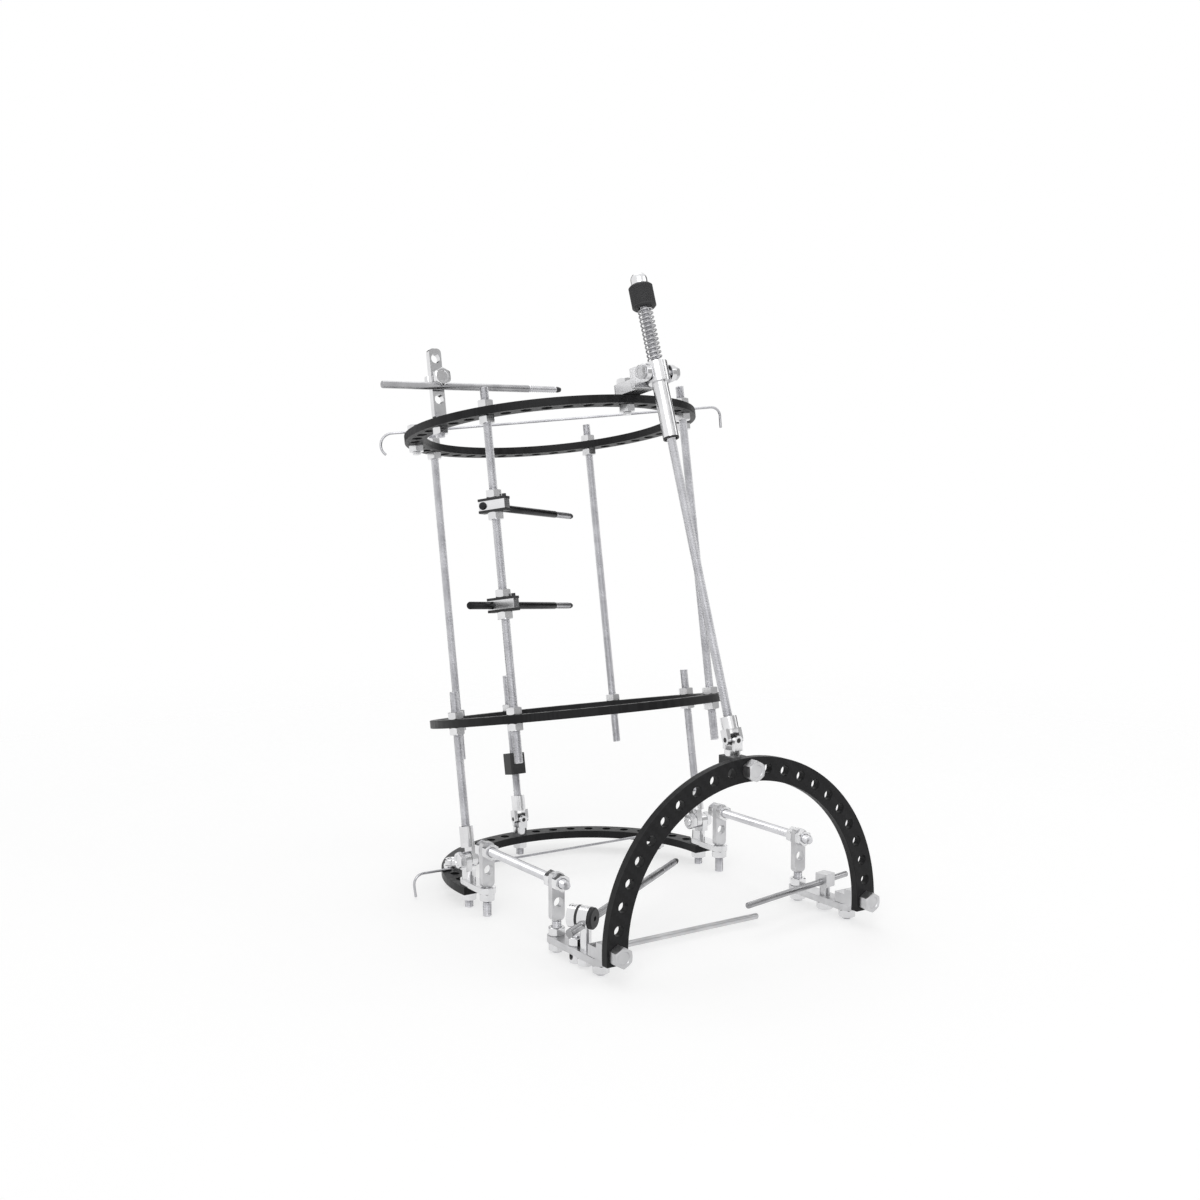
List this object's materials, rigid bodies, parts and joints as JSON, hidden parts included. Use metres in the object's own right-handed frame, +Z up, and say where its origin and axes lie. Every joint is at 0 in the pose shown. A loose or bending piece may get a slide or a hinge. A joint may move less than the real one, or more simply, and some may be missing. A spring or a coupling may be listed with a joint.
{
  "type": "external fixator",
  "caption": "Lower-leg and foot ring fixator: carbon rings on threaded rods, hinged at the ankle to a foot frame with arch, bone pins, tensioned wires and a spring rod.",
  "frame": {"origin": "on the floor, midway between the four standing studs of the foot frame", "axes": "+Z up, -Y towards the toes, X along the ankle hinge axis"},
  "size_m": [0.2608, 0.3406, 0.4234],
  "materials": {
    "carbon_plate": "satin black carbon-fibre laminate",
    "threaded_rod": "threaded stainless steel",
    "polished_steel": "polished stainless steel",
    "pin_steel": "bright drawn stainless steel",
    "wire_steel": "drawn stainless wire",
    "black_anodised": "black anodised",
    "spring_steel": "oiled spring steel"
  },
  "bodies": {
    "foot_frame": {"heel_ring": "carbon_plate", "forefoot_arch": "carbon_plate", "arch_bolts": "polished_steel", "side_plates": "polished_steel", "rear_posts": "polished_steel", "side_rails": "threaded_rod", "front_posts": "polished_steel", "front_plate_left": "polished_steel", "front_plate_right": "polished_steel", "toe_blocks": "polished_steel", "toe_studs": "threaded_rod", "foot_nuts": "polished_steel", "lower_hinges": "polished_steel", "hinge_pivots": "polished_steel", "rear_joint_base": "polished_steel", "rear_joint_cross": "black_anodised", "front_joint_base": "polished_steel", "front_joint_cross": "black_anodised", "heel_wire": "wire_steel", "heel_wire_washers": "polished_steel", "heel_wire_bolts": "polished_steel", "foot_clamp_left": "polished_steel", "foot_clamp_cap": "black_anodised", "foot_pin_left": "pin_steel", "foot_pin_bolt": "polished_steel", "foot_pin_low": "pin_steel", "foot_clamp_right": "polished_steel", "foot_pin_right": "pin_steel"},
    "leg_frame": {"proximal_ring": "carbon_plate", "distal_ring": "carbon_plate", "leg_rods": "threaded_rod", "leg_nuts": "polished_steel", "hinge_rods": "threaded_rod", "upper_hinges": "polished_steel", "rear_rod_nuts": "polished_steel", "front_bracket": "polished_steel", "bracket_bolt": "polished_steel", "swivel_screws": "polished_steel", "pin_clamp_upper": "polished_steel", "pin_clamp_lower": "polished_steel", "pin_clamp_liners": "black_anodised", "half_pin_upper": "pin_steel", "half_pin_lower": "pin_steel", "proximal_post": "polished_steel", "post_bolt": "polished_steel", "half_pin_top": "pin_steel", "proximal_wire": "wire_steel", "proximal_wire_washers": "polished_steel", "proximal_wire_bolts": "polished_steel"},
    "rear_link": {"rear_rod": "threaded_rod", "rear_joint_fork": "polished_steel"},
    "distraction_cube": {"distraction_nut": "black_anodised"},
    "front_link": {"front_rod": "threaded_rod", "rod_cap": "polished_steel", "front_joint_fork": "polished_steel"},
    "spring_carrier": {"swivel_block": "polished_steel", "spring_sleeve": "polished_steel", "spring": "spring_steel"},
    "adjuster": {"spring_knob": "black_anodised"}
  },
  "joints": [
    {"name": "ankle_hinge", "type": "hinge", "parent": "foot_frame", "child": "leg_frame", "pos_m": [0, 0.093, 0.033], "axis": [1, 0, 0], "range_deg": [0, 10]},
    {"name": "rear_rod_tilt", "type": "hinge", "parent": "foot_frame", "child": "rear_link", "pos_m": [0, 0.1905, 0.02775], "axis": [1, 0, 0], "range_deg": [0, 10.6]},
    {"name": "front_rod_tilt", "type": "hinge", "parent": "foot_frame", "child": "front_link", "pos_m": [0, -0.068, 0.13], "axis": [1, 0, 0], "range_deg": [0, 12.5]},
    {"name": "bracket_swivel", "type": "hinge", "parent": "leg_frame", "child": "spring_carrier", "pos_m": [0, 0.01208, 0.35728], "axis": [1, 0, 0], "range_deg": [0, 2.5]},
    {"name": "knob_turn", "type": "hinge", "parent": "spring_carrier", "child": "adjuster", "pos_m": [0, 0.01208, 0.35728], "axis": [0, 0.3323, 0.9432], "continuous": true},
    {"name": "distraction_nut_turn", "type": "hinge", "parent": "rear_link", "child": "distraction_cube", "pos_m": [0, 0.1905, 0.02775], "axis": [0, 0.1807, 0.9835], "continuous": true}
  ],
  "couplings": [
    {"joint": "rear_rod_tilt", "follows": "ankle_hinge", "ratio": 1.059},
    {"joint": "front_rod_tilt", "follows": "ankle_hinge", "ratio": 1.238},
    {"joint": "bracket_swivel", "follows": "ankle_hinge", "ratio": 0.238}
  ]
}
